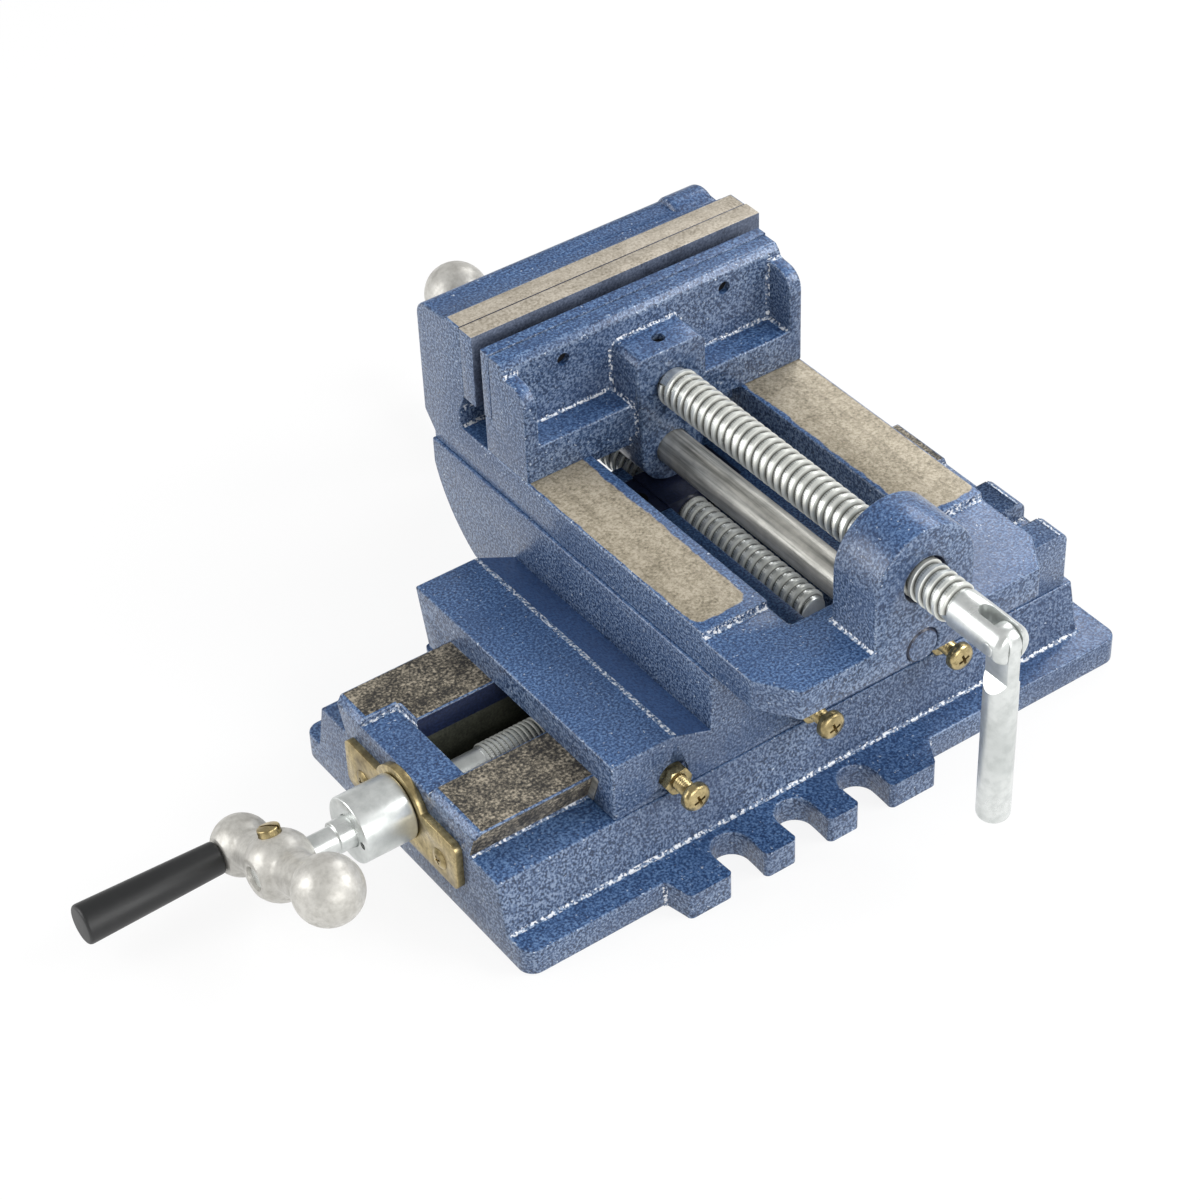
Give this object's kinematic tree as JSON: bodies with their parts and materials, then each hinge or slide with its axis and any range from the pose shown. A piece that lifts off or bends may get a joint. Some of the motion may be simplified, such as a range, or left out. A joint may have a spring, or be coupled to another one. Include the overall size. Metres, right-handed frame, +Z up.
{
  "type": "cross slide vise",
  "caption": "Compound cross slide vise: dovetail saddle and vise body on ball-crank feed screws, with a screw-driven movable jaw and slotted base flange.",
  "frame": {"origin": "centre of the base's underside", "axes": "+X along the lower feed screw away from its crank, +Y from the clamp handle towards the fixed jaw, +Z up"},
  "size_m": [0.3852, 0.3728, 0.1388],
  "materials": {
    "hammered_paint": "hammered blue enamel on cast iron, with machined bare ways and worn edges",
    "bright_zinc": "bright zinc plate",
    "yellow_zinc": "yellow passivated zinc",
    "cast_aluminium": "tumbled casting",
    "black_plastic": "matt",
    "jaw_steel": "ground, oiled",
    "oxidised_jaw_steel": "ground, darkened",
    "polished_rod": "polished, oiled",
    "gib_steel": "ground",
    "feed_nut_iron": "machined",
    "black_screw": "blackened"
  },
  "bodies": {
    "base": {"base_casting": "hammered_paint", "x_bearing_plate": "yellow_zinc", "x_plate_screws": "yellow_zinc"},
    "x_screw": {"x_feed_screw": "bright_zinc", "x_collar": "bright_zinc", "x_crank_arm": "cast_aluminium", "x_crank_set_screw": "yellow_zinc", "x_grip_spindle": "bright_zinc"},
    "x_grip": {"x_grip": "black_plastic"},
    "saddle": {"saddle_casting": "hammered_paint", "x_gib": "gib_steel", "x_gib_screws": "yellow_zinc", "x_gib_lock_nuts": "yellow_zinc", "x_nut": "feed_nut_iron", "x_nut_screws": "black_screw", "y_gib": "gib_steel", "y_gib_screws": "yellow_zinc", "y_gib_lock_nuts": "yellow_zinc", "y_nut": "feed_nut_iron", "y_nut_screws": "black_screw"},
    "vise_body": {"vise_body_casting": "hammered_paint", "fixed_jaw_plate": "jaw_steel", "fixed_jaw_screws": "black_screw", "guide_rod": "polished_rod", "y_bearing_plate": "yellow_zinc", "y_plate_screws": "yellow_zinc"},
    "y_screw": {"y_feed_screw": "bright_zinc", "y_collar": "bright_zinc", "y_crank_arm": "cast_aluminium", "y_crank_set_screw": "yellow_zinc", "y_grip_spindle": "bright_zinc"},
    "y_grip": {"y_grip": "black_plastic"},
    "movable_jaw": {"movable_jaw_casting": "hammered_paint", "movable_jaw_plate": "oxidised_jaw_steel", "movable_jaw_screws": "black_screw", "jaw_retaining_screw": "black_screw"},
    "clamp_screw": {"clamp_screw": "bright_zinc", "handle_pin": "bright_zinc"},
    "handle_bar": {"handle_bar": "bright_zinc"}
  },
  "joints": [
    {"name": "saddle_slide", "type": "slide", "parent": "base", "child": "saddle", "axis": [1, 0, 0], "range_m": [-0.08, 0.05]},
    {"name": "x_screw_spin", "type": "hinge", "parent": "base", "child": "x_screw", "pos_m": [-0.1862, 0, 0.029], "axis": [1, 0, 0], "range_deg": [-4505, 7205]},
    {"name": "x_grip_spin", "type": "hinge", "parent": "x_screw", "child": "x_grip", "pos_m": [-0.2162, 0.02878, 0.01619], "axis": [1, 0, 0], "continuous": true},
    {"name": "body_slide", "type": "slide", "parent": "saddle", "child": "vise_body", "axis": [0, 1, 0], "range_m": [-0.03, 0.06]},
    {"name": "y_screw_spin", "type": "hinge", "parent": "vise_body", "child": "y_screw", "pos_m": [0.0196, 0.1715, 0.057], "axis": [0, 1, 0], "range_deg": [-2705, 5405]},
    {"name": "y_grip_spin", "type": "hinge", "parent": "y_screw", "child": "y_grip", "pos_m": [0.03226, 0.2015, 0.02816], "axis": [0, 1, 0], "continuous": true},
    {"name": "jaw_slide", "type": "slide", "parent": "vise_body", "child": "movable_jaw", "axis": [0, 1, 0], "range_m": [-0.11, 0.0055]},
    {"name": "clamp_screw_spin", "type": "hinge", "parent": "movable_jaw", "child": "clamp_screw", "pos_m": [0.0196, -0.1312, 0.1105], "axis": [0, 1, 0], "range_deg": [-9905, 500]},
    {"name": "handle_swing", "type": "hinge", "parent": "clamp_screw", "child": "handle_bar", "pos_m": [0.0196, -0.1312, 0.1105], "axis": [1, 0, 0], "range_deg": [-180, 0]}
  ],
  "couplings": [
    {"joint": "x_screw_spin", "follows": "saddle_slide", "rad_per_m": -1570.8},
    {"joint": "y_screw_spin", "follows": "body_slide", "rad_per_m": 1570.8},
    {"joint": "clamp_screw_spin", "follows": "jaw_slide", "rad_per_m": 1570.8}
  ]
}
